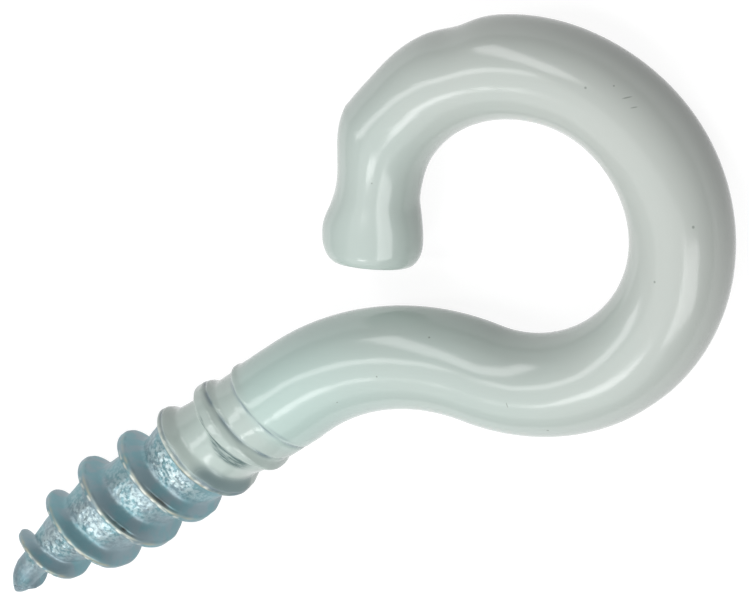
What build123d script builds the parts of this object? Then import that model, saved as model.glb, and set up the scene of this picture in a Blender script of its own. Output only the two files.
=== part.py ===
from build123d import *
import os
from math import acos, ceil, cos, degrees, pi, radians, sin, tan

# Open screw eye: one round wire, with a wood-screw thread rolled on its straight end and the other
# end bent through an S into an open eye, dipped in a thin coat that ends on the first turns.
# Millimetres. The shank axis is X with the point toward -X, and the eye lies in the XY plane.
# The origin is on the shank axis, at the shoulder where the plain wire steps down to the thread.

# Wire and eye
wire_diameter = 3.3
shank_length = 1.75  # straight wire between the shoulder and the S-bend
bend_radius = 6.9  # mean radius of the S-bend
eye_radius = 5.2  # mean radius of the eye
eye_offset = 0.4  # how far the eye's centre lies to the side of the shank axis
eye_heading = 231.5  # direction of the wire where the eye's arc ends, in degrees from +X

# Free end: pinched in on its outer side when it was cut, then flared again at the cut
neck_distance = 0.7  # how far before the end of the eye's arc the neck is deepest
neck_depth = 0.65  # how far the outer side goes in
neck_height = 2.9  # height of the wire across the neck
neck_before = 2.1  # length of the slope down into the neck
neck_after = 1.6  # length of the slope up to the flare
tail_length = 1.9  # straight wire after the eye's arc
flare_inner = 0.14  # how far the flare's inner side stands out of the wire's line
flare_outer = 0.22  # how far the flare's outer side stays short of the wire's line
cut_lean = 12  # lean of the cut face in degrees, with its +Z side cut shorter
rim_length = 0.9  # how far before the cut its rim starts to round
rim_inset = 0.55  # how far the rounded rim comes in at the cut

# Thread, right-handed
thread_length = 11.75  # from the shoulder to the point
thread_diameter = 3.8
pitch = 1.8
first_crest = 1.15  # how far from the shoulder the crest first crosses the +Y side
core_diameter = 2.68  # bare core
filled_core_diameter = 3.06  # core of the first turns, where the coat fills the groove
filled_length = 3.4  # how far the filled core reaches from the shoulder
coat_runout = 0.7  # length over which the coat thins out
crest_width = 0.3  # width of the rounded crest along the axis
crest_round = 0.06  # fall of the crest from its middle to its edges
front_flank = 22  # flank that faces the point, in degrees from square to the axis
back_flank = 32  # flank that faces the eye
root_cover = 0.2  # how deep the thread's foot is set into the core
thread_cover = 0.35  # how far the thread's start runs on inside the shank
start_rise = 0.9  # length over which the thread rises to its full height

# Gimlet point
point_length = 4.5  # length over which the core tapers
crest_taper_length = 4.65  # how far from the tip the crest starts to fall
crest_fall = 0.28  # fall of the crest's radius for each unit of length
tip_lead = 0.3  # how far from the tip the thread begins, inside the core
tip_rise = 1.6  # rise of the last crest out of the core for each unit of length
tip_diameter = 0.24
tip_bend = 0.35  # how far the very tip is bent to one side
tip_bend_length = 1.6  # how much of the point is bent

wire_radius = wire_diameter / 2
crest_radius = thread_diameter / 2
core_radius = core_diameter / 2
filled_radius = filled_core_diameter / 2
tip_radius = tip_diameter / 2
tip_x = -thread_length
point_x = tip_x + point_length
taper_x = tip_x + crest_taper_length
bend_x = tip_x + tip_bend_length
thread_x = tip_x + tip_lead

# The S-bend turns toward -Y until it meets the eye's arc, which turns the other way
bend_sweep = acos((bend_radius + eye_offset) / (bend_radius + eye_radius))
eye_x = shank_length + (bend_radius + eye_radius) * sin(bend_sweep)
eye_centre = Vector(eye_x, eye_offset, 0)

RAIL_POINTS = 16  # points on each rail of the thread in one turn
TIP_SECTIONS = 3  # round sections along the bent tip
TAIL_STEPS = 7  # steps in the neck and flare
RIM_STEPS = 4  # steps in the rounding of the cut face's rim
OVAL_POINTS = 8  # points round each section of the free end


def share(value, low, high):
    """Where value lies between low and high, as 0 to 1."""
    return min(max((value - low) / (high - low), 0), 1)


def slope(value, low, high):
    """The same share, eased at both ends."""
    return (1 - cos(pi * share(value, low, high))) / 2


def plain_wire():
    """Round wire from the shoulder to the start of the neck."""
    sweep_angle = degrees(bend_sweep)
    neck_heading = eye_heading - degrees((neck_distance + neck_before) / eye_radius)
    path = Line((0, 0), (shank_length, 0))
    path += CenterArc((shank_length, -bend_radius), bend_radius, 90, -sweep_angle)
    path += CenterArc(eye_centre, eye_radius, -90 - sweep_angle, neck_heading + sweep_angle)
    return sweep(Plane.YZ * Circle(wire_radius), path=path)


def tail_plane(station):
    """Plane square to the wire's line. Stations count from the end of the eye's arc."""
    heading = radians(eye_heading) + min(station, 0) / eye_radius
    along = Vector(cos(heading), sin(heading), 0)
    inward = Vector(-along.Y, along.X, 0)
    origin = eye_centre - inward * eye_radius + along * max(station, 0)
    return Plane(origin=origin, x_dir=(0, 0, -1), z_dir=along)


def tail_section(station, inset):
    """Oval section of the free end, leaning more toward the cut and drawn in by the inset."""
    neck = -neck_distance
    cut = tail_length - rim_length
    pinch = slope(station, neck - neck_before, neck) - slope(station, neck, neck + neck_after)
    flare = slope(station, neck, neck + neck_after)
    lean = radians(cut_lean) * slope(station, neck, cut)
    inner = wire_radius + flare_inner * flare - inset
    outer = wire_radius - neck_depth * pinch - flare_outer * flare - inset
    half_height = wire_radius - (wire_diameter - neck_height) / 2 * pinch - inset
    points = []
    for index in range(OVAL_POINTS):
        angle = 2 * pi * index / OVAL_POINTS
        points.append((half_height / cos(lean) * cos(angle),
                       (inner - outer) / 2 + (inner + outer) / 2 * sin(angle)))
    square = tail_plane(station)
    leaning = Plane(origin=square.origin,
                    x_dir=square.x_dir * cos(lean) + square.z_dir * sin(lean),
                    z_dir=square.z_dir * cos(lean) - square.x_dir * sin(lean))
    return leaning * make_face(Spline(*points, periodic=True))


def free_end():
    """Neck, flare and leaning cut face with a rounded rim."""
    first = -neck_distance - neck_before
    last = tail_length - rim_length
    sections = [tail_plane(first) * Circle(wire_radius)]
    for step in range(1, TAIL_STEPS + 1):
        sections.append(tail_section(first + (last - first) * step / TAIL_STEPS, 0))
    for step in range(1, RIM_STEPS + 1):
        angle = pi / 2 * step / RIM_STEPS
        sections.append(tail_section(last + rim_length * sin(angle), rim_inset * (1 - cos(angle))))
    return loft(sections, ruled=True)


def core_line(x):
    """Radius of the bare core at x."""
    return tip_radius + (core_radius - tip_radius) * share(x, tip_x, point_x)


def core_shift(x):
    """Sideways shift of the bent tip at x."""
    return -tip_bend * (1 - share(x, tip_x, bend_x)) ** 2


def crest_line(x):
    """Radius of the thread's crest at x."""
    rise = share(thread_cover - x, 0, start_rise)
    from_start = core_radius + (crest_radius - core_radius) * rise
    tapered = crest_radius - crest_fall * max(taper_x - x, 0)
    from_tip = core_line(x) - crest_round + tip_rise * (x - thread_x)
    return min(from_start, tapered, from_tip)


def core():
    """Core with the coat's filling under the first turns, the taper and the bent tip."""
    outline = Polyline(
        (thread_cover, 0),
        (thread_cover, filled_radius),
        (-filled_length, filled_radius),
        (-filled_length - coat_runout, core_radius),
        (point_x, core_radius),
        (bend_x, core_line(bend_x)),
        (bend_x, 0),
        close=True,
    )
    rings = []
    for index in range(TIP_SECTIONS):
        x = bend_x - tip_bend_length * index / (TIP_SECTIONS - 1)
        across = Plane(origin=(x, core_shift(x), 0), x_dir=(0, 1, 0), z_dir=(-1, 0, 0))
        rings.append(across * Circle(core_line(x)))
    return revolve(make_face(outline), Axis.X) + loft(rings, ruled=True)


def thread_profile(x):
    """Corners of the thread's section at x, from the front foot over the crest to the back
    foot, each as a distance along the axis and a radius."""
    top = crest_line(x)
    foot = max(core_line(x) - root_cover, core_line(x) / 2)
    shoulder = max(top - crest_round, foot + crest_round / 2)
    top = max(top, shoulder + crest_round / 4)
    half = crest_width / 2 * top / crest_radius
    height = shoulder - foot
    return [
        (-half - height * tan(radians(front_flank)), foot),
        (-half, shoulder),
        (0, top),
        (half, shoulder),
        (half + height * tan(radians(back_flank)), foot),
    ]


def thread_turn(start, end):
    """One turn of the thread, or the part of a turn between two places on the axis."""
    steps = max(ceil(RAIL_POINTS * (end - start) / pitch), 2)
    rails = []
    for index in range(steps + 1):
        x = start + (end - start) * index / steps
        angle = 2 * pi * (x + first_crest) / pitch
        points = []
        for offset, radius in thread_profile(x):
            points.append((x + offset, radius * cos(angle) + core_shift(x), radius * sin(angle)))
        rails.append(points)
    edges = [Edge.make_spline(list(rail)) for rail in zip(*rails)]
    faces = [Face.make_surface_from_curves(one, two)
             for one, two in zip(edges, edges[1:] + edges[:1])]
    for points in (rails[0], rails[-1]):
        faces.append(Face(Wire.make_polygon(points, close=True)))
    return Solid(Shell(faces))


def thread():
    """The thread's turns, from inside the tip to inside the shank."""
    turns = ceil((thread_cover - thread_x) / pitch)
    step = (thread_cover - thread_x) / turns
    return [thread_turn(thread_x + step * turn, thread_x + step * (turn + 1))
            for turn in range(turns)]


screw_eye = plain_wire() + free_end() + core().fuse(*thread())
screw_eye = screw_eye.solid()

os.makedirs("parts", exist_ok=True)
export_step(screw_eye, "parts/screw_eye.step")

box = screw_eye.bounding_box()
print("overall", box.size, "volume", screw_eye.volume, "valid", screw_eye.is_valid)
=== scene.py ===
from math import acos, ceil, cos, pi, radians, sin, sqrt

import bpy
import numpy as np
from mathutils import Matrix, Vector


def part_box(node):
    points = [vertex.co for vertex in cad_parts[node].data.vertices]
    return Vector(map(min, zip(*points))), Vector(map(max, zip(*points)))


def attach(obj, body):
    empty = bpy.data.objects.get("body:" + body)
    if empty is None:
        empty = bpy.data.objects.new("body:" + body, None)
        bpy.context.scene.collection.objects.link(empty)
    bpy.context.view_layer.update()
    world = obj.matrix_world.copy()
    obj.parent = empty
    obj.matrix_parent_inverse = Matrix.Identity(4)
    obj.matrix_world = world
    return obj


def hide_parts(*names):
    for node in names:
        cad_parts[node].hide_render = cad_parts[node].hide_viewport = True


# Looks of an open screw eye: one wire with a rolled wood-screw thread on bare zinc, dipped in a
# glossy pale coat that thins out over the first turns. Lengths are in millimetres up to the mesh.
# The shank axis is X with the point toward -X, and the eye lies in the XY plane. Angles round the
# wire count from +Y toward +Z on the shank, and from the wire's left side toward +Z elsewhere.
MM = 0.001

# Wire and eye
WIRE_RADIUS = 1.65
SHANK_LENGTH = 1.75
BEND_RADIUS = 6.9
EYE_RADIUS = 5.2
EYE_OFFSET = 0.4
EYE_HEADING = radians(231.5)

# Swellings of the coated wire: station, height and length of each, and its thinning to the cut
SWELLS = [
    (0.6, 0.035, 2.6),
    (13.8, 0.035, 3.0),
    (9.0, -0.02, 1.8),
    (23.4, -0.045, 2.2),
]
END_THINNING = 0.07
END_THINNING_SPAN = (24.5, 31)

# Dents in the outer side before the neck: station, depth, length, and width round the wire
DENTS = [
    (27.7, 0.15, 0.55, 0.9),
    (30.3, 0.09, 0.8, 0.8),
]

# The wire stays inside the solid's -Y side: slant from which a point faces that side, room of the
# points that don't, and length over which the two blend
LEAST_SLANT = 0.2
OPEN_ROOM = 10
ROOM_BLEND = 0.02

# Free end, whose near side is cut sharper and pressed flatter than its far side
TAIL_LENGTH = 1.9
NECK_DISTANCE = 0.7
NECK_DEPTH = 0.65
NECK_THINNING = 0.2
NECK_BEFORE = 2.1
NECK_AFTER = 1.6
FLARE_INNER = 0.14
FLARE_OUTER = 0.22
CUT_LEAN = radians(12)
RIM_LENGTH = 0.9
RIM_INSET = 0.55
NEAR_SHARPNESS = 0.6
NEAR_FLATNESS = 1.2
CUT_DOME = 0.08

# Thread
TIP_X = -11.75
PITCH = 1.8
FIRST_CREST = 1.15
CREST_RADIUS = 1.89
CORE_RADIUS = 1.34
COATED_CORE_RADIUS = 1.53
FILLED_LENGTH = 3.4
COAT_RUNOUT = 0.7
THREAD_COVER = 0.35
START_RISE = 0.9

# Gimlet point: places are a distance from the tip and a length
TIP_RADIUS = 0.2
TIP_ROUND = 0.42
TIP_CLOSING = 0.98
TIP_BLOB = 0.1
TIP_BLOB_PLACE = (0.6, 0.4)
TIP_WAIST = 0.05
TIP_WAIST_PLACE = (1.45, 0.3)
TIP_BEND = 0.5
TIP_BEND_LENGTH = 2.0
POINT_BOW = 0.07
POINT_BOW_PLACE = (2.8, 0.9)
POINT_LENGTH = 4.5
CREST_TAPER_LENGTH = 4.65
CREST_FALL = 0.265
TIP_LEAD = 0.3
TIP_RISE = 0.7
CREST_ROUND = 0.06

# Section of the thread, across its crest: a flat lip with a steep flank in front, toward the point,
# and a slow flank behind. A coated crest is lower and its back flank lies further forward.
FRONT_FLANK = 0.22
FRONT_LIP = 0.25
COATED_LIP = 0.42
LIP_ROUND = 0.07
NEAR_NARROWING = 0.13
NEAR_NARROWING_PLACE = (radians(95), radians(48))
BACK_START = 0.0
BACK_END = 0.52
COATED_FALL = 0.03
COATED_SHIFT = 0.1
FOOT_COVER = 0.06
FOOT_BLEND = 0.04
LEAST_CREST = 0.3

# Turns along the thread, counted from the first crest: where the crest becomes coated, and where
# its lip is wide
COATED_TURNS = (-1.4, -1.05)
WIDE_LIP_TURNS = (-0.5, -0.1, 0.14, 0.33)

# Near half of the first turn and of the second, which is the last coated one
FIRST_NEAR_HALF = (0, 0.5)
SECOND_NEAR_HALF = (-1, -0.5)

# Seam in the crest, the turns over which it moves across, and where it is open on bare zinc
SEAM_OFFSET = 0.11
SEAM_WIDTH = 0.03
SEAM_DEPTH = 0.065
SEAM_MOVES = [
    (-0.18, (-1.6, -1.1)),
    (0.3, (-0.1, 0.22)),
]
OPEN_SEAM_PLACE = (radians(104), radians(18))
OPEN_SEAM_FADE = (4, 5.5)
COATED_SEAM_DEPTH = 0.6
COATED_SEAM_WIDENING = 0.4

# Coat that fills the first grooves further: height and place on the axis
SECOND_FILL = 0.05
SECOND_FILL_PLACE = (-2.7, 0.5)
FIRST_FILL = 0.09
FIRST_FILL_SPAN = (-1.6, -0.9)
START_FILL = 0.08
START_FILL_SPAN = (-0.6, -0.1)
START_FILL_PLACE = (radians(165), radians(40))

# The shoulder is a step that leans against the axis, with a low lip behind and a groove in front
SHOULDER_X = 0.32
SHOULDER_LEAN = 0.38
SHOULDER_TURN = radians(35)
SHOULDER_LENGTH = 0.2
SHOULDER_LIP = 0.06
SHOULDER_LIP_PLACE = (0.06, 0.14)
SHOULDER_LIP_WIDTH = radians(50)
SHOULDER_GROOVE = 0.05
SHOULDER_GROOVE_PLACE = (-0.07, 0.06)
THREAD_END = 1.3

# Where the coat ends on the thread, with its waves and its rubbed crest on the low side. A ripple
# is a wavelength and a number of waves.
COAT_END = -3.15
COAT_END_LEAN = 0.4
COAT_END_WAVE = 0.04
COAT_END_BEFORE = 0.08
COAT_END_AFTER = 0.12
COAT_END_RIPPLE = (0.9, 30)
RUBBED_CREST = 0.55
RUBBED_CREST_PLACE = (0.1, 0.34)
RUBBED_CREST_SIDE = np.radians([80, 115, 165, 200])

# Patch in the coated groove that is rubbed thin: it drifts forward and widens round the wire
PATCH_OFFSET = -0.33
PATCH_DRIFT = -0.25
PATCH_DRIFT_SPAN = np.radians([56, 105])
PATCH_WIDTH = 0.06
PATCH_GROWTH = 0.22
PATCH_GROWTH_SPAN = np.radians([62, 100])
PATCH_SIDE = np.radians([48, 62, 122, 145])
PATCH_SOFTNESS = (0.6, 1.5)
PATCH_BACK_SHARPNESS = 1.5

# Worn lips, and the painted highlights on their front edge, as bright glints
BARE_TURNS = (-1.1, -0.95)
BARE_WEAR = 0.8
BARE_WEAR_PLACE = (0.03, 0.045)
FAR_WEAR = 0.25
COATED_WEAR_PLACE = (-0.2, 0.05)
BARE_WEAR_SIDE = (40, 150)
COATED_WEAR_SIDE = (72, 125)
LIP_GLINT_SIDE = (40, 135)
LIP_GLINT_INSET = 0.11
LIP_GLINT_WIDTH = 0.04
COATED_LIP_GLINT_WIDTH = 0.06
WEAR_FADE = (1, 1.5)
SIDE_SOFTNESS = 15

# Painted shade down in the seam's slit on the bare crests: faint all round, heavy where the seam is
# wide
SLIT_SHADE_PLACE = (radians(105), radians(13))
FAINT_SLIT_SHADE = 0.15
NARROW_SLIT_SHADE = 0.7
WIDE_SLIT_SHADE = 1.1
SLIT_SHADE_START = (3.2, 3.8)
SLIT_SHADE_FADE = (4, 5)

# Painted bluish shade: in the coated seams, along the shoulder, beside its low side, and at the tip
SEAM_SHADE_WIDTH = 0.06
SEAM_SHADE_FADE = (-0.35, 0)
SHOULDER_SHADE_PLACE = (-0.06, 0.055)
SECOND_SHADE = 0.7
SECOND_SHADE_PLACE = (0.1, 0.045)
SECOND_SHADE_SIDE = (108, 135)
TIP_SHADE = 0.8
TIP_SHADE_FADE = (0.8, 1.5)

# Uneven strength of the wear, the painted lip glints, the painted slit shade and the painted bluish
# shade: level, height, wavelength and number of waves
WEAR_STRENGTH = (0.65, 0.3, 0.6, 24)
LIP_GLINT_STRENGTH = (0.35, 1.2, 0.34, 30)
SLIT_SHADE_STRENGTH = (0.5, 0.6, 0.4, 24)
SHADE_STRENGTH = (0.7, 0.3, 0.9, 24)

# Rough bare roots, roughest on the near and far sides; the same amounts set the painted glints in
# the zinc's colour
ROLLED_END = (-3.1, -2.7)
ROLLED_BEHIND = (0.3, 0.72)
ROLLED_AHEAD = (0.26, 0.62)
ROLLED_SIDES = (radians(86), radians(266))
ROLLED_SIDE_WIDTH = radians(36)
ROLLED_ELSEWHERE = 0.1
ROLLED_FADE = (1, 1.8)
ROLLED_POINT = 0.85
ROLLED_GAIN = 0.4
ROLLED_GAIN_SPAN = (-4.6, -3.9)
ROLLED_TIP = 0.25
ROLLED_TIP_START = (0, 0.2)
ROLLED_TIP_FADE = (0.7, 1.3)

# Lumps on the threaded end: their heights, and the wavelength and number of waves of each ripple
ROOT_LUMPS = 0.012
ROOT_RIPPLE = (0.36, 40)
FINE_ROOT_LUMPS = 0.35
FINE_ROOT_RIPPLE = (0.17, 60)
LIP_LUMPS = 0.006
LIP_RIPPLE = (0.7, 24)
LIP_LUMPS_PLACE = (-0.05, 0.16)
LIP_LUMPS_FADE = (0, 2.5)
COAT_LUMPS = 0.005
COAT_RIPPLE = (1.3, 24)
COAT_LUMPS_SPAN = (-3.6, -2.9)
LUMPS_SINK = 0.006
LUMPS_END = (0.4, 1.2)

# Mesh
AROUND = 160
ACROSS_THREAD = 56
ROW_STEP = 0.2
TAIL_STEP = 0.1
RIM_ROWS = 12
CUT_ROWS = 8
FINE_STEPS = 2001
SAME_PLACE = 1e-9

# The grid winds past both ends of the thread: its turns beyond those that fit, and how many of all
# its turns follow the first crest toward the eye
SPARE_TURNS = 3
TURNS_BEHIND = 2

# Where the rows across the thread lie closer together: distance from the crest, amount and width
CLOSER = [
    (0, 2.2, 0.3),
    (0.05, 1.2, 0.1),
]

# Camera of the photograph, in millimetres, with its right, down and ahead directions
PHOTO_WIDTH = 749
FOCAL_PIXELS = 5057.35
EYE_POINT = Vector((80.72413, 10.62207, 141.46681))
RIGHT = Vector((0.739418, -0.572841, -0.353715))
DOWN = Vector((-0.483679, -0.817454, 0.312767))
AHEAD = Vector((-0.468311, -0.060181, -0.881512))
SENSOR_WIDTH = 36
CLIP_START = 10

# Floor, world and lamps, with their places and lengths in metres
FLOOR_HALF = 2
FLOOR_Z = -1.92 * MM
FLOOR_GREY = (0.25, 0.25, 0.25, 1)
WHITE = (1, 1, 1, 1)
FLOOR_GLOW = 0.88
WORLD_STRENGTH = 0.16

# Each lamp: name, direction and long side in the camera's right, down and ahead, width and height
# for each unit of distance, and strength
LAMP_TARGET = Vector((4, 0, 0)) * MM
LAMP_DISTANCE = 0.3
LAMPS = [
    ("left_strip", (-0.81, 0.12, -0.52), (0.6, 0, -0.75), (0.95, 0.16), 4.1),
    ("lower_left", (-0.42, 0.74, -0.51), (0.9, 0.4, -0.2), (0.3, 0.15), 6.5),
    ("upper_left", (-0.5, -0.42, -0.75), (0.25, 0.5, -0.5), (0.85, 0.24), 4),
    ("lower_right", (0.29, 0.69, -0.66), (1, 0, 0), (0.56, 0.46), 3.7),
    ("soft_key", (-0.4, 0.74, -0.54), (1, 0, 0), (1.3, 1.3), 0.86),
]

# Random numbers of the ripples, the same in every run, and the spread of their wavelengths
SEED = 11
WAVELENGTH_SPREAD = (0.7, 1.4)
random = np.random.default_rng(SEED)


def share(value, low, high):
    """Where value lies between low and high, as 0 to 1."""
    return np.clip((value - low) / (high - low), 0, 1)


def ease(value, low, high):
    """The same share, eased at both ends."""
    return (1 - np.cos(pi * share(value, low, high))) / 2


def plateau(value, start, full, fade, end):
    """1 from full to fade, eased in from the start and out to the end."""
    return ease(value, start, full) * (1 - ease(value, fade, end))


def within(value, low, high):
    """1 where the value lies between low and high, and 0 elsewhere."""
    return (value > low) * (value < high)


def hump(value, middle, width):
    """A smooth hump of height 1 around the middle."""
    return np.exp(-((value - middle) / width) ** 2)


def turn_hump(angle, middle, width):
    """The same hump round the wire."""
    off = (angle - middle + pi) % (2 * pi) - pi
    return np.exp(-(off / width) ** 2)


def soft_least(one, two, blend):
    """The lesser of two lengths, with the corner between them rounded."""
    return (one + two - np.sqrt((one - two) ** 2 + blend ** 2)) / 2


def soft_most(one, two, blend):
    """The greater of two lengths, with the corner between them rounded."""
    return (one + two + np.sqrt((one - two) ** 2 + blend ** 2)) / 2


def ripple(along, angle, radius, wavelength, waves):
    """Uneven ripple of about unit height over a round surface, without a seam."""
    total = np.zeros(np.broadcast(along, angle).shape)
    for _ in range(waves):
        tilt = random.uniform(0, 2 * pi)
        size = 2 * pi / (wavelength * random.uniform(*WAVELENGTH_SPREAD))
        turns = round(size * sin(tilt) * radius)
        total += np.sin(size * cos(tilt) * along + turns * angle + random.uniform(0, 2 * pi))
    return total * sqrt(2 / waves)


# Wire line: the shank, the S-bend toward -Y and the eye, which turns the other way
BEND_SWEEP = acos((BEND_RADIUS + EYE_OFFSET) / (BEND_RADIUS + EYE_RADIUS))
BEND_END = SHANK_LENGTH + BEND_RADIUS * BEND_SWEEP
ARC_END = BEND_END + EYE_RADIUS * (EYE_HEADING + BEND_SWEEP)
EYE_X = SHANK_LENGTH + (BEND_RADIUS + EYE_RADIUS) * sin(BEND_SWEEP)


def wire_line(station):
    """Centre and heading of the wire at stations along it, counted from the shoulder."""
    bend = share(station, SHANK_LENGTH, BEND_END) * (BEND_END - SHANK_LENGTH) / BEND_RADIUS
    arc = np.clip(station - BEND_END, 0, ARC_END - BEND_END) / EYE_RADIUS
    tail = np.maximum(station - ARC_END, 0)
    heading = arc - bend
    x = np.minimum(station, SHANK_LENGTH) + BEND_RADIUS * np.sin(bend)
    y = -BEND_RADIUS * (1 - np.cos(bend))
    in_eye = station > BEND_END
    x = np.where(in_eye, EYE_X + EYE_RADIUS * np.sin(heading) + tail * np.cos(heading), x)
    y = np.where(in_eye, EYE_OFFSET - EYE_RADIUS * np.cos(heading) + tail * np.sin(heading), y)
    return x, y, heading


def wire_swell(station):
    """How far the coated wire is thicker or thinner than its nominal radius."""
    swell = -END_THINNING * ease(station, *END_THINNING_SPAN)
    for middle, height, length in SWELLS:
        swell = swell + height * hump(station, middle, length)
    return swell


def wire_reach(station, angle):
    """Radius of the wire from the shoulder to the neck, with its dents."""
    reach = WIRE_RADIUS + wire_swell(station)
    for middle, depth, length, width in DENTS:
        reach = reach - depth * hump(station, middle, length) * turn_hump(angle, pi, width)
    return reach


def core_line(x):
    """Radius of the bare core at x."""
    return TIP_RADIUS + (CORE_RADIUS - TIP_RADIUS) * share(x, TIP_X, TIP_X + POINT_LENGTH)


def core_shift(x):
    """Sideways shift of the bent tip at x."""
    bent = -TIP_BEND * (1 - share(x, TIP_X, TIP_X + TIP_BEND_LENGTH)) ** 2
    return bent + POINT_BOW * hump(x - TIP_X, *POINT_BOW_PLACE)


def crest_line(x):
    """Radius of the thread's crest at x."""
    rise = share(THREAD_COVER - x, 0, START_RISE)
    from_start = CORE_RADIUS + (CREST_RADIUS - CORE_RADIUS) * rise
    tapered = CREST_RADIUS - CREST_FALL * np.maximum(TIP_X + CREST_TAPER_LENGTH - x, 0)
    from_tip = core_line(x) - CREST_ROUND + TIP_RISE * (x - TIP_X - TIP_LEAD)
    return np.minimum(np.minimum(from_start, tapered), from_tip)


def shoulder_line(angle):
    """Where the shoulder's edge lies on the axis, round the wire."""
    return SHOULDER_X - SHOULDER_LEAN * np.cos(angle + SHOULDER_TURN)


def turn_along(x, offset):
    """How many turns along the thread its nearest crest lies, counted from the first crest."""
    return (x - offset + FIRST_CREST) / PITCH


def coated_crest(x, offset):
    """Where the crest is one of the coated turns, as 0 to 1."""
    return ease(turn_along(x, offset), *COATED_TURNS)


def lip_width(x, offset):
    """How far the flat front lip reaches from the middle of the crest toward the point."""
    turn = turn_along(x, offset)
    wide = plateau(turn, *WIDE_LIP_TURNS)
    narrow = turn_hump(2 * pi * turn, *NEAR_NARROWING_PLACE) * (1 - coated_crest(x, offset))
    return FRONT_LIP + (COATED_LIP - FRONT_LIP) * wide - NEAR_NARROWING * narrow


def seam_offset(x, offset):
    """How far the seam lies from the middle of the crest."""
    across = SEAM_OFFSET
    for move, turns in SEAM_MOVES:
        across = across + move * ease(turn_along(x, offset), *turns)
    return across


def root_line(x, angle):
    """Radius of the root between the crests, with the coat that fills it and the uneven tip."""
    coat = share(x, -FILLED_LENGTH - COAT_RUNOUT, -FILLED_LENGTH)
    root = core_line(x) + (COATED_CORE_RADIUS - CORE_RADIUS) * coat
    root = root + SECOND_FILL * hump(x, *SECOND_FILL_PLACE)
    root = root + FIRST_FILL * ease(x, *FIRST_FILL_SPAN)
    root = root + START_FILL * turn_hump(angle, *START_FILL_PLACE) * ease(x, *START_FILL_SPAN)
    root = root + TIP_BLOB * hump(x - TIP_X, *TIP_BLOB_PLACE)
    return root - TIP_WAIST * hump(x - TIP_X, *TIP_WAIST_PLACE)


def ridge_line(x, angle, offset):
    """Radius of the thread over its root, before the seam and the shoulder."""
    root = root_line(x, angle)
    coated = coated_crest(x, offset)
    top = crest_line(x) - COATED_FALL * coated
    size = np.maximum(top, LEAST_CREST) / CREST_RADIUS
    lip = lip_width(x, offset)
    shift = COATED_SHIFT * coated
    front = ease(offset, -(lip + FRONT_FLANK) * size, -(lip - LIP_ROUND) * size)
    back = 1 - ease(offset, (BACK_START - shift) * size, (BACK_END - shift) * size)
    foot = root - FOOT_COVER
    front_side = soft_most(foot + (top - foot) * front, root, FOOT_BLEND)
    return root + (np.where(offset < 0, front_side, top) - root) * back


def seam_cut(x, angle, offset):
    """How deep the seam cuts into the crest."""
    coated = coated_crest(x, offset)
    open_seam = turn_hump(angle, *OPEN_SEAM_PLACE) * share(x - TIP_X, *OPEN_SEAM_FADE)
    depth = SEAM_DEPTH * (open_seam + (COATED_SEAM_DEPTH - open_seam) * coated)
    width = SEAM_WIDTH * (1 + COATED_SEAM_WIDENING * coated)
    return depth * hump(offset, seam_offset(x, offset), width)


def thread_reach(x, angle, offset):
    """Radius of the threaded end at x. The offset is the distance from the nearest crest."""
    reach = ridge_line(x, angle, offset) - seam_cut(x, angle, offset)
    beside = x - shoulder_line(angle)
    step = ease(beside, -SHOULDER_LENGTH, 0)
    reach = reach + (np.maximum(wire_reach(x, angle), reach) - reach) * step
    lip = hump(beside, *SHOULDER_LIP_PLACE) * turn_hump(angle, 0, SHOULDER_LIP_WIDTH)
    reach = reach + SHOULDER_LIP * lip
    reach = reach - SHOULDER_GROOVE * hump(beside, *SHOULDER_GROOVE_PLACE)
    closing = share(TIP_X + TIP_ROUND - x, 0, TIP_ROUND)
    return reach * np.sqrt(1 - TIP_CLOSING * closing ** 2)


def tail_form(tail):
    """Shape of the free end at stations from the end of the eye's arc: how far it reaches inward
    and outward, half its height, and its lean."""
    neck = -NECK_DISTANCE
    sharp = NEAR_SHARPNESS * np.maximum(np.sin(ANGLES), 0) ** 2
    rim = share(tail, TAIL_LENGTH - RIM_LENGTH * (1 - sharp), TAIL_LENGTH)
    inset = RIM_INSET * (1 - sharp) * (1 - np.sqrt(np.maximum(1 - rim ** 2, 0)))
    pinch = ease(tail, neck - NECK_BEFORE, neck) - ease(tail, neck, neck + NECK_AFTER)
    flare = ease(tail, neck, neck + NECK_AFTER)
    swell = wire_swell(tail + ARC_END) * (1 - ease(tail, neck - NECK_BEFORE, neck))
    inner = WIRE_RADIUS + swell + FLARE_INNER * flare - inset
    outer = WIRE_RADIUS + swell - NECK_DEPTH * pinch - FLARE_OUTER * flare - inset
    thinning = NECK_THINNING * np.where(np.sin(ANGLES) > 0, pinch + NEAR_FLATNESS * flare, pinch)
    height = WIRE_RADIUS + swell - thinning - inset
    lean = CUT_LEAN * ease(tail, neck, TAIL_LENGTH - RIM_LENGTH)
    return inner, outer, height, lean


class Skin:
    """Points and faces of the piece as they are laid out, ring by ring."""

    def __init__(self):
        self.points = []
        self.faces = []
        self.values = {}
        self.count = 0

    def add(self, points):
        """Adds points and returns their numbers."""
        first = self.count
        self.points.append(np.asarray(points).reshape(-1, 3))
        self.count += len(self.points[-1])
        return np.arange(first, self.count)

    def join(self, one, two):
        """Faces between two rings, the second one further along the wire."""
        for left, right, far_right, far_left in zip(one, np.roll(one, -1), np.roll(two, -1), two):
            self.faces.append((left, right, far_right, far_left))

    def close(self, ring, centre):
        """Faces from a ring to the point that ends it."""
        for left, right in zip(ring, np.roll(ring, -1)):
            self.faces.append((left, right, centre))


ANGLES = 2 * pi * np.arange(AROUND) / AROUND


def across_thread():
    """Distances from the crest over one pitch, closest together where the crest is sharp."""
    even = np.linspace(-PITCH / 2, PITCH / 2, FINE_STEPS)
    density = 1
    for middle, height, width in CLOSER:
        density = density + height * hump(even, middle, width)
    sums = np.concatenate([[0], np.cumsum(density[:-1])])
    return np.interp(np.arange(ACROSS_THREAD) / ACROSS_THREAD * sums[-1], sums, even)


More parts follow.
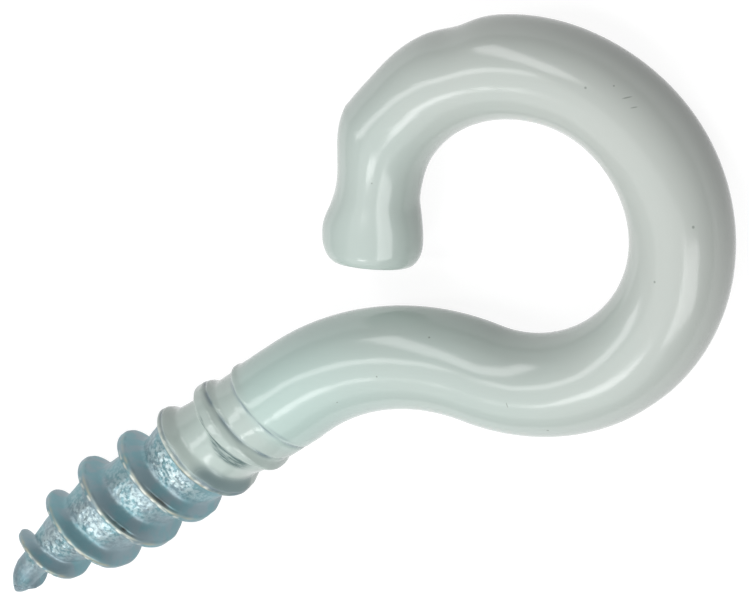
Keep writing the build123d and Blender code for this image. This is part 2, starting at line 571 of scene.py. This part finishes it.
def threaded_end(skin):
    """The threaded end as one winding grid that follows the thread, cut off square at the tip and
    on the shank. Returns its two end rings."""
    turns = ceil((THREAD_END - TIP_X) / PITCH) + SPARE_TURNS
    first = -FIRST_CREST - PITCH * (turns - TURNS_BEHIND)
    winding = np.arange(turns * AROUND + AROUND)
    offsets = across_thread()
    crest = first + PITCH * winding / AROUND
    x = np.clip(crest[:, None] + offsets[None, :], TIP_X, THREAD_END)
    angle = np.broadcast_to((2 * pi * winding / AROUND % (2 * pi))[:, None], x.shape)
    offset = (x + FIRST_CREST - PITCH * angle / (2 * pi) + PITCH / 2) % PITCH - PITCH / 2
    in_place = np.abs(x - crest[:, None] - offsets[None, :]) < SAME_PLACE
    offset = np.where(in_place, offsets[None, :], offset)
    reach = thread_reach(x, angle, offset)
    reach = reach + lumps(x, angle, offset)
    y = core_shift(x) + reach * np.cos(angle)
    z = reach * np.sin(angle)
    numbers = skin.add(np.stack([x, y, z], -1)).reshape(x.shape)
    for name, find in LAYERS.items():
        skin.values[name] = find(x, angle, offset).ravel()
    column = np.broadcast_to((winding % AROUND)[:, None], x.shape)
    tip_ring = np.full(AROUND, -1)
    top_ring = np.full(AROUND, -1)
    for ring, edge in ((tip_ring, TIP_X), (top_ring, THREAD_END)):
        on_edge = np.nonzero(np.abs(x - edge) < SAME_PLACE)
        ring[column[on_edge]] = numbers[on_edge]
        numbers[on_edge] = ring[column[on_edge]]
    ahead = np.vstack([numbers[1:], numbers[-1:]])
    beside = np.hstack([numbers[:, 1:], np.vstack([numbers[AROUND:, :1], numbers[-AROUND:, :1]])])
    corner = np.vstack([beside[1:], beside[-1:]])
    usable = winding[:-AROUND]
    quads = np.stack([numbers, ahead, corner, beside], -1)[usable].reshape(-1, 4)
    for quad in quads.tolist():
        face = list(dict.fromkeys(quad))
        if len(face) > 2:
            skin.faces.append(tuple(face))
    return tip_ring, top_ring


def uneven(x, angle, radius, level, height, wavelength, waves):
    """Uneven strength between 0 and 1 over the threaded end."""
    return np.clip(level + height * ripple(x, angle, radius, wavelength, waves), 0, 1)


def on_near_side(angle, low, high):
    """Where the angle lies between two angles in degrees, eased at both."""
    ends = (low - SIDE_SOFTNESS, low + SIDE_SOFTNESS, high - SIDE_SOFTNESS, high + SIDE_SOFTNESS)
    return plateau(angle, *np.radians(ends))


def on_second_crest(x, offset):
    """Where the nearest crest is the near half of the last coated turn."""
    return within(turn_along(x, offset), *SECOND_NEAR_HALF)


def coat_cover(x, angle, offset):
    """How much coat covers the threaded end: 1 where it is full, 0 on bare zinc."""
    wave = COAT_END_WAVE * ripple(x, angle, WIRE_RADIUS, *COAT_END_RIPPLE)
    edge = COAT_END + COAT_END_LEAN * (1 - np.cos(angle)) + wave
    cover = ease(x, edge - COAT_END_BEFORE, edge + COAT_END_AFTER)
    on_crest = on_second_crest(x, offset) * hump(offset, *RUBBED_CREST_PLACE)
    cover = cover - RUBBED_CREST * plateau(angle, *RUBBED_CREST_SIDE) * on_crest
    return np.clip(cover, 0, 1)


def lip_wear(x, angle, offset):
    """Dull tan edge along the crest where the zinc is bare, and in front of the last coated one."""
    strength = uneven(x, angle, CREST_RADIUS, *WEAR_STRENGTH)
    bare = 1 - ease(turn_along(x, offset), *BARE_TURNS)
    bare = bare * (FAR_WEAR + (1 - FAR_WEAR) * on_near_side(angle, *BARE_WEAR_SIDE))
    coated = on_second_crest(x, offset) * on_near_side(angle, *COATED_WEAR_SIDE)
    wear = BARE_WEAR * bare * hump(offset, *BARE_WEAR_PLACE)
    wear = wear + coated * hump(offset, *COATED_WEAR_PLACE)
    return wear * strength * share(x - TIP_X, *WEAR_FADE)


def painted_lip_glints(x, angle, offset):
    """Painted highlight: bright glints of colour along the front edge of the lip."""
    broken = uneven(x, angle, CREST_RADIUS, *LIP_GLINT_STRENGTH)
    turn = turn_along(x, offset)
    width = np.where(turn > SECOND_NEAR_HALF[0], COATED_LIP_GLINT_WIDTH, LIP_GLINT_WIDTH)
    edge = hump(offset, LIP_GLINT_INSET - lip_width(x, offset), width) * (turn < SECOND_NEAR_HALF[1])
    return edge * broken * on_near_side(angle, *LIP_GLINT_SIDE) * share(x - TIP_X, *WEAR_FADE)


def brushed_patch(x, angle, offset):
    """Patch in the first coated groove where the coat is rubbed thin."""
    middle = PATCH_OFFSET + PATCH_DRIFT * share(angle, *PATCH_DRIFT_SPAN)
    width = PATCH_WIDTH + PATCH_GROWTH * share(angle, *PATCH_GROWTH_SPAN)
    away = np.abs(offset - middle) * np.where(offset < middle, 1, PATCH_BACK_SHARPNESS) / width
    rubbed = (1 - ease(away, *PATCH_SOFTNESS)) * plateau(angle, *PATCH_SIDE)
    return rubbed * within(turn_along(x, offset), *FIRST_NEAR_HALF)


def painted_slit_shade(x, angle, offset):
    """Painted shade: dark colour down in the seam of the crest, widest on the near side."""
    wide = turn_hump(angle, *SLIT_SHADE_PLACE)
    strength = uneven(x, angle, CREST_RADIUS, *SLIT_SHADE_STRENGTH)
    amount = FAINT_SLIT_SHADE * strength + wide * (1 + strength) / 2
    width = SEAM_WIDTH * (NARROW_SLIT_SHADE + WIDE_SLIT_SHADE * wide)
    slit_shade = np.clip(amount, 0, 1) * hump(offset, seam_offset(x, offset), width)
    return slit_shade * share(-x, *SLIT_SHADE_START) * share(x - TIP_X, *SLIT_SHADE_FADE)


def painted_groove_shade(x, angle, offset):
    """Painted bluish shade in the seams of the first turns and along the shoulder, and a darker
    tip.
    """
    strength = uneven(x, angle, WIRE_RADIUS, *SHADE_STRENGTH)
    seam = hump(offset, seam_offset(x, offset), SEAM_SHADE_WIDTH)
    seam = seam * coated_crest(x, offset) * share(-x, *SEAM_SHADE_FADE)
    beside = x - shoulder_line(angle)
    shoulder = hump(beside, *SHOULDER_SHADE_PLACE)
    second = hump(beside, *SECOND_SHADE_PLACE) * on_near_side(angle, *SECOND_SHADE_SIDE)
    tip = 1 - ease(x - TIP_X, *TIP_SHADE_FADE)
    return np.clip(seam + shoulder + SECOND_SHADE * second + TIP_SHADE * tip, 0, 1) * strength


def rolled(x, angle, offset):
    """Where the bare root is rough from rolling, and a little at the tip. It also sets how much
    painted glint the zinc's colour shows.
    """
    size = crest_line(x) / CREST_RADIUS
    behind = ease(offset, ROLLED_BEHIND[0] * size, ROLLED_BEHIND[1] * size)
    in_root = np.maximum(behind, ease(-offset, *ROLLED_AHEAD))
    sides = sum(turn_hump(angle, side, ROLLED_SIDE_WIDTH) for side in ROLLED_SIDES)
    sides = ROLLED_ELSEWHERE + (1 - ROLLED_ELSEWHERE) * np.clip(sides, 0, 1)
    from_tip = x - TIP_X
    body = in_root * sides * (1 - ease(x, *ROLLED_END)) * share(from_tip, *ROLLED_FADE)
    body = body * (ROLLED_POINT + ROLLED_GAIN * ease(x, *ROLLED_GAIN_SPAN))
    tip = share(from_tip, *ROLLED_TIP_START) * (1 - share(from_tip, *ROLLED_TIP_FADE))
    return body + ROLLED_TIP * tip


# Values stored on the threaded end for the material, in the order of their random draws
LAYERS = {
    "coat": coat_cover,
    "lip": lip_wear,
    "lip_glint": painted_lip_glints,
    "brushed": brushed_patch,
    "slit_shade": painted_slit_shade,
    "painted_shade": painted_groove_shade,
    "rolled": rolled,
}


def lumps(x, angle, offset):
    """Uneven surface of the threaded end: rolled lumps in the bare root, wavy lips on the crest."""
    rough = ripple(x, angle, CORE_RADIUS, *ROOT_RIPPLE)
    rough += FINE_ROOT_LUMPS * ripple(x, angle, CORE_RADIUS, *FINE_ROOT_RIPPLE)
    lips = hump(offset, *LIP_LUMPS_PLACE) * ripple(x, angle, CREST_RADIUS, *LIP_RIPPLE)
    coat = ripple(x, angle, WIRE_RADIUS, *COAT_RIPPLE) * ease(x, *COAT_LUMPS_SPAN)
    height = ROOT_LUMPS * rolled(x, angle, offset) * rough
    height += LIP_LUMPS * lips * share(x - TIP_X, *LIP_LUMPS_FADE)
    height += COAT_LUMPS * coat - LUMPS_SINK
    return height * (1 - share(x, *LUMPS_END))


def wire_rings(skin, last):
    """Rings along the plain wire from the threaded end to the start of the neck."""
    end = ARC_END - NECK_DISTANCE - NECK_BEFORE
    stations = np.linspace(THREAD_END, end, ceil((end - THREAD_END) / ROW_STEP) + 1)[1:]
    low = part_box("screw_eye")[0].y / MM
    for station in stations:
        x, y, heading = wire_line(station)
        reach = wire_reach(station, ANGLES)
        side = np.cos(heading) * np.cos(ANGLES)
        room = np.where(side < -LEAST_SLANT, (low - y) / np.minimum(side, -LEAST_SLANT), OPEN_ROOM)
        reach = soft_least(reach, room, ROOM_BLEND)
        left = reach * np.cos(ANGLES)
        across = x - np.sin(heading) * left
        beside = y + np.cos(heading) * left
        points = np.stack([across, beside, reach * np.sin(ANGLES)], -1)
        ring = skin.add(points)
        skin.join(last, ring)
        last = ring
    return last


def tail_points(tail, shrink, dome):
    """One leaning ring of the free end, drawn in toward its middle and pushed out as a dome."""
    x, y, heading = wire_line(tail + ARC_END)
    inner, outer, height, lean = tail_form(tail)
    along = np.array([np.cos(heading), np.sin(heading), 0])
    inward = np.array([-along[1], along[0], 0])
    upward = np.array([0, 0, 1]) * cos(lean) - along * sin(lean)
    sideways = (inner - outer) / 2 + (inner + outer) / 2 * np.cos(ANGLES) * shrink
    upright = height / cos(lean) * np.sin(ANGLES) * shrink
    centre = np.array([x, y, 0]) + along * dome
    return centre + sideways[:, None] * inward + upright[:, None] * upward


def free_end(skin, last):
    """Neck, flare, rounded rim and domed cut face."""
    start = -NECK_DISTANCE - NECK_BEFORE
    rim = TAIL_LENGTH - RIM_LENGTH
    tails = list(np.linspace(start, rim, ceil((rim - start) / TAIL_STEP) + 1)[1:])
    tails += [rim + RIM_LENGTH * sin(pi / 2 * step / RIM_ROWS) for step in range(1, RIM_ROWS + 1)]
    for tail in tails:
        ring = skin.add(tail_points(tail, 1, 0))
        skin.join(last, ring)
        last = ring
    for row in range(1, CUT_ROWS):
        shrink = 1 - row / CUT_ROWS
        points = tail_points(TAIL_LENGTH, shrink, CUT_DOME * (1 - shrink ** 2))
        ring = skin.add(points)
        skin.join(last, ring)
        last = ring
    centre = skin.add(tail_points(TAIL_LENGTH, 0, CUT_DOME)[:1])
    skin.close(last, centre[0])


def make_skin():
    """The whole piece as one closed skin."""
    skin = Skin()
    tip_ring, top_ring = threaded_end(skin)
    last = wire_rings(skin, top_ring)
    free_end(skin, last)
    tip = skin.add([(TIP_X, core_shift(TIP_X), 0)])
    skin.close(tip_ring[::-1], tip[0])
    return skin


def add_value(mesh, name, values):
    """Stores one value per point for the material to read."""
    layer = mesh.attributes.new(name, "FLOAT", "POINT")
    layer.data.foreach_set("value", np.ascontiguousarray(values, np.float32))


def build_piece():
    """The coated screw eye as one mesh, with the values that its material reads."""
    skin = make_skin()
    points = np.concatenate(skin.points)
    used = np.unique(np.concatenate([np.array(face) for face in skin.faces]))
    renumber = np.zeros(len(points), int)
    renumber[used] = np.arange(len(used))
    mesh = bpy.data.meshes.new("screw_eye_coated")
    faces = [tuple(renumber[list(face)].tolist()) for face in skin.faces]
    mesh.from_pydata((points[used] * MM).tolist(), [], faces)
    mesh.validate()
    mesh.polygons.foreach_set("use_smooth", [True] * len(mesh.polygons))
    for name, values in skin.values.items():
        # The wire beyond the thread is all coat, and the tip's middle takes the value beside it
        beyond = 1.0 if name == "coat" else 0.0
        whole = np.full(len(points), beyond)
        whole[:len(values)] = values
        whole[-1] = values[0]
        add_value(mesh, name, whole[used])
    piece = bpy.data.objects.new("screw_eye_coated", mesh)
    bpy.context.scene.collection.objects.link(piece)
    return piece


class Nodes:
    """Short ways to add and link the nodes of one material."""

    def __init__(self, name):
        self.material = bpy.data.materials.new(name)
        self.material.use_nodes = True
        self.tree = self.material.node_tree
        self.shader = self.tree.nodes["Principled BSDF"]

    def add(self, kind, **settings):
        """Adds a node and sets its properties."""
        node = self.tree.nodes.new(kind)
        for name, value in settings.items():
            setattr(node, name, value)
        return node

    def put(self, socket, value):
        """Links an output to a socket, or sets the socket to a plain value."""
        if isinstance(value, bpy.types.NodeSocket):
            self.tree.links.new(value, socket)
        else:
            socket.default_value = value

    def value(self, name):
        """One of the values stored on the mesh."""
        return self.add("ShaderNodeAttribute", attribute_name=name).outputs["Fac"]

    def place(self):
        """Position on the piece, in metres."""
        return self.add("ShaderNodeTexCoord").outputs["Object"]

    def math(self, operation, one, two=0.0):
        """One arithmetic step."""
        node = self.add("ShaderNodeMath", operation=operation)
        self.put(node.inputs[0], one)
        self.put(node.inputs[1], two)
        return node.outputs[0]

    def between(self, value, low, high, start=0.0, end=1.0):
        """Where a value lies between low and high, eased, as start to end."""
        node = self.add("ShaderNodeMapRange", interpolation_type="SMOOTHSTEP")
        for socket, number in zip(node.inputs, (value, low, high, start, end)):
            self.put(socket, number)
        return node.outputs[0]

    def noise(self, size, detail=2.0, vector=None):
        """Noise whose features are about the given size in millimetres."""
        node = self.add("ShaderNodeTexNoise")
        self.put(node.inputs["Vector"], vector or self.place())
        self.put(node.inputs["Scale"], 1 / (size * MM))
        self.put(node.inputs["Detail"], detail)
        return node.outputs["Fac"]

    def streaks(self):
        """Fine streaks along the thread's turns on the near side."""
        node = self.add("ShaderNodeMapping", vector_type="TEXTURE")
        self.put(node.inputs["Vector"], self.place())
        self.put(node.inputs["Rotation"], (0, 0, STREAK_TURN))
        self.put(node.inputs["Scale"], (STREAK_NARROWING, 1, 1))
        uneven_streaks = self.noise(STREAK_SIZE, FINE_DETAIL, node.outputs[0])
        return self.between(uneven_streaks, *STREAK_CONTRAST, *STREAK_AMOUNT)

    def mix(self, amount, one, two):
        """One colour turning into the other."""
        node = self.add("ShaderNodeMix", data_type="RGBA")
        self.put(node.inputs[0], amount)
        self.put(node.inputs[6], one if isinstance(one, bpy.types.NodeSocket) else (*one, 1))
        self.put(node.inputs[7], two if isinstance(two, bpy.types.NodeSocket) else (*two, 1))
        return node.outputs[2]

    def bump(self, height, depth, normal=None):
        """Bump of the given depth in millimetres."""
        node = self.add("ShaderNodeBump")
        self.put(node.inputs["Distance"], depth * MM)
        self.put(node.inputs["Height"], height)
        if normal is not None:
            self.put(node.inputs["Normal"], normal)
        return node.outputs["Normal"]

    def mark(self, station, angle, length, width, turn):
        """A small oval mark on the wire, as 1 in its middle and 0 outside."""
        x, y, heading = wire_line(station)
        along = Vector((cos(heading), sin(heading), 0))
        left = Vector((-along.y, along.x, 0))
        outward = left * cos(angle) + Vector((0, 0, sin(angle)))
        sideways = outward.cross(along)
        reach = float(wire_reach(station, angle))
        one = along * cos(turn) + sideways * sin(turn)
        two = outward.cross(one)
        node = self.add("ShaderNodeMapping", vector_type="TEXTURE")
        self.put(node.inputs["Vector"], self.place())
        self.put(node.inputs["Location"], (Vector((x, y, 0)) + outward * reach) * MM)
        self.put(node.inputs["Rotation"], Matrix((one, two, outward)).transposed().to_euler())
        self.put(node.inputs["Scale"], Vector((length / 2, width / 2, MARK_REACH)) * MM)
        size = self.add("ShaderNodeVectorMath", operation="LENGTH")
        self.put(size.inputs[0], node.outputs[0])
        return self.between(size.outputs["Value"], *MARK_EDGE)


# Small marks in the coat: station along the wire, degrees round it, length, width, turn in degrees
MARKS = [
    (23.54, 112, 0.11, 0.1, 0),
    (22.5, 130, 0.42, 0.06, 55),
    (22.2, 127, 0.3, 0.05, 55),
    (22.95, 131, 0.08, 0.08, 0),
    (9.58, 95, 0.24, 0.05, -75),
    (5.18, 93, 0.08, 0.08, 0),
    (6.7, 44, 0.1, 0.09, 0),
    (18.66, 122, 0.13, 0.12, 0),
    (16.94, 79, 0.11, 0.1, 0),
    (10.58, 132, 0.12, 0.1, 0),
    (3.4, 117, 0.08, 0.06, 0),
    (32.46, 71, 0.09, 0.07, 0),
    (34.08, 93, 0.08, 0.07, 0),
]

# How far a mark reaches in and out of the surface, where it fades, and how much it shows
MARK_REACH = 0.1
MARK_EDGE = (1.0, 0.4)
MARK_AMOUNT = 0.6

# Colours of the coat, of the zinc and of what lies on them, with the painted glints and the painted
# shade
COAT_PALE = (0.55, 0.65, 0.61)
COAT_WARM = (0.595, 0.635, 0.60)
COAT_COOL = (0.555, 0.705, 0.66)
COAT_THIN = (0.25, 0.34, 0.345)
COAT_BRUSHED = (0.13, 0.2, 0.2)
PAINTED_SHADE_COLOUR = (0.2, 0.28, 0.33)
ZINC_DULL = (0.225, 0.415, 0.46)
ZINC_GREY = (0.3, 0.41, 0.455)
ZINC_PAINTED_GLINT = (0.72, 0.88, 0.9)
LIP_TAN = (0.56, 0.55, 0.42)
LIP_GLINT = (0.85, 0.88, 0.8)
SLIT_SHADE = (0.035, 0.035, 0.025)
MARK = (0.2, 0.24, 0.21)

# Full coat: places along X where it turns warm and cool, with the clouds that shift the first
WARM_SPAN = (6 * MM, 20 * MM)
CLOUD_SIZE = 3.5
CLOUD_SHIFT = 5 * MM
COOL_START = (0.0, 0.8 * MM)
COOL_END = (6 * MM, MM)

# Amounts of coat between which bare zinc turns to thin coat, and thin coat to full coat
THIN_SPAN = (0.05, 0.5)
FULL_SPAN = (0.45, 0.95)
SHADE_AMOUNT = 0.8

# Clouds and specks of the zinc, the painted glints (painted highlights) in its rolled roots, and
# the pits there
FINE_DETAIL = 3
ZINC_CLOUD_SIZE = 0.8
ZINC_CLOUD_CONTRAST = (0.4, 0.65)
ZINC_SPECK_SIZE = 0.22
ZINC_GREY_SPAN = (0.3, 1.3)
GLINT_SIZE = 0.13
GLINT_CONTRAST = (0.4, 0.6)
PIT_SIZE = 0.11
PIT_DEPTH = 0.05

# Slow waves in the whole surface
WAVE_SIZE = 1.3
WAVE_DETAIL = 1
WAVE_DEPTH = 0.02

# Streaks in the rubbed patch, turned to run with the thread
STREAK_TURN = radians(11)
STREAK_NARROWING = 0.16
STREAK_SIZE = 0.5
STREAK_CONTRAST = (0.36, 0.62)
STREAK_AMOUNT = (0.3, 0.95)

# Metal: its share on bare zinc, and the amounts of coat and of painted slit shade between which it
# shows
ZINC_METAL = 0.55
METAL_SPAN = (0.75, 0.05)
UNSHADED_SPAN = (0.7, 0.1)

# Roughness of the coat from thin to full, and of the zinc from plain to rolled
THIN_ROUGHNESS = 0.5
COAT_ROUGHNESS = 0.16
GLOSS_SPAN = (0.3, 0.9)
ZINC_ROUGHNESS = 0.48
ROLLED_ROUGHNESS = 0.32
ROLLED_SPAN = (0.1, 0.7)


def full_coat(nodes):
    """Colour of the full coat, cooler after the shoulder and warmer toward the eye."""
    place = nodes.add("ShaderNodeSeparateXYZ")
    nodes.put(place.inputs[0], nodes.place())
    along = place.outputs["X"]
    cloudy = nodes.math("MULTIPLY", nodes.noise(CLOUD_SIZE), CLOUD_SHIFT)
    warm = nodes.between(nodes.math("ADD", along, cloudy), *WARM_SPAN)
    colour = nodes.mix(warm, COAT_PALE, COAT_WARM)
    before_end = nodes.between(along, *COOL_END)
    cool = nodes.math("MULTIPLY", before_end, nodes.between(along, *COOL_START))
    return nodes.mix(cool, colour, COAT_COOL)


def bare_zinc(nodes, rolled_root_and_glints):
    """Colour of the bare zinc, cloudy and dull, with painted highlights as bright glints in the
    rolled roots.
    """
    cloud = nodes.between(nodes.noise(ZINC_CLOUD_SIZE), *ZINC_CLOUD_CONTRAST)
    cloud = nodes.math("ADD", cloud, nodes.noise(ZINC_SPECK_SIZE, FINE_DETAIL))
    colour = nodes.mix(nodes.between(cloud, *ZINC_GREY_SPAN), ZINC_DULL, ZINC_GREY)
    # Painted highlight: bright specks of colour stand in for glints of light off the rolled roots
    painted_glint = nodes.between(nodes.noise(GLINT_SIZE, FINE_DETAIL), *GLINT_CONTRAST)
    return nodes.mix(nodes.math("MULTIPLY", painted_glint, rolled_root_and_glints), colour, ZINC_PAINTED_GLINT)


def small_marks(nodes):
    """All the small marks in the coat, as 1 on a mark and 0 beside it."""
    marks = 0.0
    for station, angle, length, width, turn in MARKS:
        mark = nodes.mark(station, radians(angle), length, width, radians(turn))
        marks = nodes.math("MAXIMUM", mark, marks)
    return marks


def coated_steel():
    """Glossy pale coat on the wire, thinning to bare zinc on the thread."""
    nodes = Nodes("white_coated_steel")
    coat = nodes.value("coat")
    rolled_root_and_glints = nodes.value("rolled")
    slit_shade = nodes.value("slit_shade")
    brushed = nodes.math("MULTIPLY", nodes.value("brushed"), nodes.streaks())
    painted_shade = nodes.math("MULTIPLY", nodes.value("painted_shade"), SHADE_AMOUNT)
    marks = nodes.math("MULTIPLY", small_marks(nodes), MARK_AMOUNT)
    colour = nodes.mix(nodes.between(coat, *THIN_SPAN), bare_zinc(nodes, rolled_root_and_glints), COAT_THIN)
    colour = nodes.mix(nodes.between(coat, *FULL_SPAN), colour, full_coat(nodes))
    colour = nodes.mix(brushed, colour, COAT_BRUSHED)
    colour = nodes.mix(nodes.value("lip"), colour, LIP_TAN)
    # Painted highlight: bright glints along the front edge of the lips
    colour = nodes.mix(nodes.value("lip_glint"), colour, LIP_GLINT)
    # Painted shade: bluish darkening in the seams, along the shoulder and at the tip
    colour = nodes.mix(painted_shade, colour, PAINTED_SHADE_COLOUR)
    colour = nodes.mix(marks, colour, MARK)
    # Painted shade: near-black colour down in the slit of the seam
    colour = nodes.mix(slit_shade, colour, SLIT_SHADE)
    nodes.put(nodes.shader.inputs["Base Color"], colour)
    bare = nodes.between(coat, *METAL_SPAN, 0.0, ZINC_METAL)
    metal = nodes.math("MULTIPLY", bare, nodes.between(slit_shade, *UNSHADED_SPAN))
    nodes.put(nodes.shader.inputs["Metallic"], metal)
    zinc_gloss = nodes.between(rolled_root_and_glints, *ROLLED_SPAN, ZINC_ROUGHNESS, ROLLED_ROUGHNESS)
    coat_gloss = nodes.between(coat, *GLOSS_SPAN, THIN_ROUGHNESS, COAT_ROUGHNESS)
    gloss = nodes.math("MINIMUM", zinc_gloss, coat_gloss)
    nodes.put(nodes.shader.inputs["Roughness"], gloss)
    pitted = nodes.math("MULTIPLY", nodes.noise(PIT_SIZE, FINE_DETAIL), rolled_root_and_glints)
    normal = nodes.bump(pitted, PIT_DEPTH)
    normal = nodes.bump(nodes.noise(WAVE_SIZE, WAVE_DETAIL), WAVE_DEPTH, normal)
    nodes.put(nodes.shader.inputs["Normal"], normal)
    return nodes.material


def white_floor():
    """Pale floor that shows white and keeps a soft shadow."""
    nodes = Nodes("floor")
    nodes.put(nodes.shader.inputs["Base Color"], FLOOR_GREY)
    nodes.put(nodes.shader.inputs["Roughness"], 1.0)
    nodes.put(nodes.shader.inputs["Specular IOR Level"], 0.0)
    nodes.put(nodes.shader.inputs["Emission Color"], WHITE)
    rays = nodes.add("ShaderNodeLightPath").outputs
    seen = nodes.math("MAXIMUM", rays["Is Camera Ray"], rays["Is Glossy Ray"])
    seen = nodes.math("MAXIMUM", seen, rays["Is Transmission Ray"])
    glow = nodes.math("MULTIPLY", seen, FLOOR_GLOW)
    nodes.put(nodes.shader.inputs["Emission Strength"], glow)
    return nodes.material


def lamp(name, toward, across, size, strength):
    """Area lamp in a direction from the object, given in the camera's right, down and ahead."""
    direction = (RIGHT * toward[0] + DOWN * toward[1] + AHEAD * toward[2]).normalized()
    side = RIGHT * across[0] + DOWN * across[1] + AHEAD * across[2]
    side = (side - direction * side.dot(direction)).normalized()
    up = direction.cross(side)
    data = bpy.data.lights.new(name, "AREA")
    data.shape = "RECTANGLE"
    data.size = size[0] * LAMP_DISTANCE
    data.size_y = size[1] * LAMP_DISTANCE
    data.energy = strength * data.size * data.size_y * pi
    lamp_object = bpy.data.objects.new(name, data)
    turned = Matrix((side, up, direction)).transposed().to_4x4()
    place = LAMP_TARGET + direction * LAMP_DISTANCE
    lamp_object.matrix_world = Matrix.Translation(place) @ turned
    lamp_object.visible_camera = False
    bpy.context.scene.collection.objects.link(lamp_object)


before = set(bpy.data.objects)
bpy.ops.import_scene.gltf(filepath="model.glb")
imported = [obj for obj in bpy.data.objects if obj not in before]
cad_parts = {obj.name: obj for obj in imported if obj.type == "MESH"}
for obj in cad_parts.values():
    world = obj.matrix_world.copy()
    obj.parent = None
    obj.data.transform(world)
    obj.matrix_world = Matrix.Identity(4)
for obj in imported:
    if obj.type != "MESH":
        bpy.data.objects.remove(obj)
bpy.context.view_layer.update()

piece = build_piece()

piece.data.materials.append(coated_steel())

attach(piece, "root")
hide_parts("screw_eye")

floor_mesh = bpy.data.meshes.new("floor")
floor_corners = [(x * FLOOR_HALF, y * FLOOR_HALF, FLOOR_Z)
                 for x, y in ((-1, -1), (1, -1), (1, 1), (-1, 1))]
floor_mesh.from_pydata(floor_corners, [], [(0, 1, 2, 3)])
floor = bpy.data.objects.new("floor", floor_mesh)
bpy.context.scene.collection.objects.link(floor)
floor.data.materials.append(white_floor())

for settings in LAMPS:
    lamp(*settings)

world = bpy.data.worlds.new("studio")
bpy.context.scene.world = world
world.use_nodes = True
background = world.node_tree.nodes["Background"]
background.inputs["Strength"].default_value = WORLD_STRENGTH
background.inputs["Color"].default_value = WHITE

camera_data = bpy.data.cameras.new("camera")
camera_data.sensor_width = SENSOR_WIDTH
camera_data.lens = FOCAL_PIXELS / PHOTO_WIDTH * SENSOR_WIDTH
camera_data.clip_start = CLIP_START * MM
camera = bpy.data.objects.new("camera", camera_data)
axes = Matrix((RIGHT, -DOWN, -AHEAD)).transposed().to_4x4()
camera.matrix_world = Matrix.Translation(EYE_POINT * MM) @ axes
bpy.context.scene.collection.objects.link(camera)
bpy.context.scene.camera = camera
bpy.context.scene.view_settings.view_transform = "Standard"
